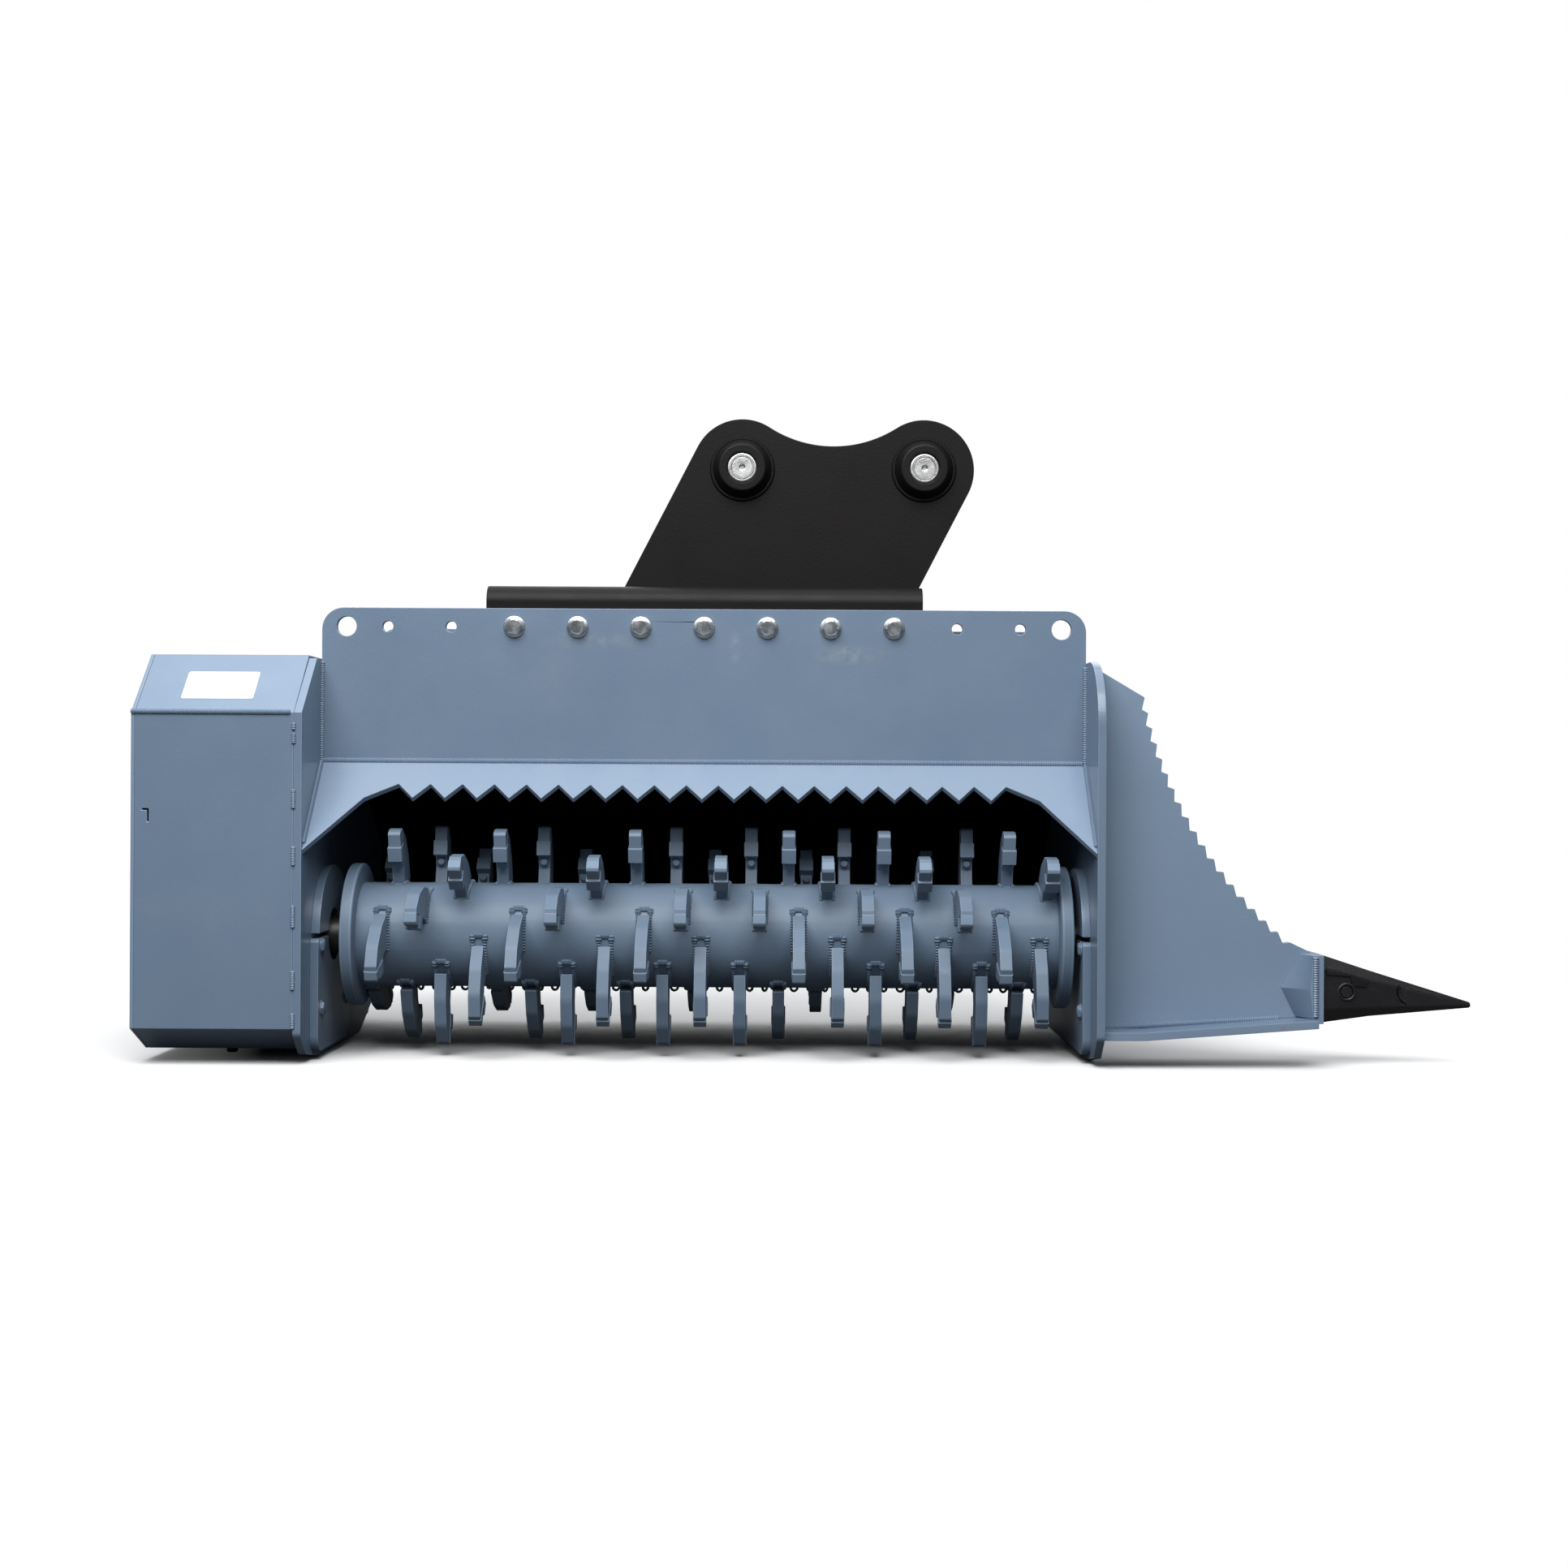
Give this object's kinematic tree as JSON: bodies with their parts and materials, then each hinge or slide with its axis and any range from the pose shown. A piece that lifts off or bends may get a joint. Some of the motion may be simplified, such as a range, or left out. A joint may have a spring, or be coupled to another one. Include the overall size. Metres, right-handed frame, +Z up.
{
  "type": "forestry mulcher",
  "caption": "Excavator mulching head: toothed rotor under a serrated hood, belt housing, pinned carrier bracket, and a sawtooth wing with a ripper tooth.",
  "frame": {"origin": "middle of the whole head's bounding box in X and Y, at floor level", "axes": "+X along the rotor towards the ripper tooth, +Y from the open front to the back, +Z up"},
  "size_m": [2.091, 0.69, 1.043],
  "materials": {
    "housing_paint": "gloss grey-blue enamel",
    "rotor_paint": "gloss grey-blue enamel",
    "bracket_black": "satin black enamel",
    "pin_steel": "machined steel",
    "chain_steel": "dark steel",
    "ripper_cast": "black cast steel",
    "motor_black": "satin black enamel"
  },
  "bodies": {
    "frame": {"side_plate_left": "housing_paint", "side_plate_right": "housing_paint", "mounting_plate_front": "housing_paint", "mounting_plate_rear": "housing_paint", "hood_lip": "housing_paint", "shroud": "housing_paint", "chain_curtain": "chain_steel", "chain_tabs": "housing_paint", "belt_housing": "housing_paint", "belt_housing_cover": "housing_paint", "bracket_saddle": "bracket_black", "bracket_ear_front": "bracket_black", "bracket_ear_rear": "bracket_black", "bracket_brace": "bracket_black", "pin_collars": "bracket_black", "dipper_pin": "pin_steel", "link_pin": "pin_steel", "wing": "housing_paint", "wing_foot": "housing_paint", "tooth_adapter": "housing_paint", "ripper_tooth": "ripper_cast", "ripper_pin": "ripper_cast", "hydraulic_motor": "motor_black", "motor_ports": "pin_steel", "bearing_cover_left": "housing_paint", "bearing_cover_right": "housing_paint", "bearing_saddle_left": "housing_paint", "bearing_saddle_right": "housing_paint", "bearing_left": "housing_paint", "bearing_right": "housing_paint"},
    "rotor": {"rotor_drum": "rotor_paint", "end_disc_left": "rotor_paint", "end_disc_right": "rotor_paint", "rotor_shaft_left": "pin_steel", "rotor_shaft_right": "pin_steel"}
  },
  "joints": [
    {"name": "rotor_spin", "type": "hinge", "parent": "frame", "child": "rotor", "pos_m": [-0.16835, -0.16, 0.193], "axis": [1, 0, 0], "continuous": true}
  ]
}
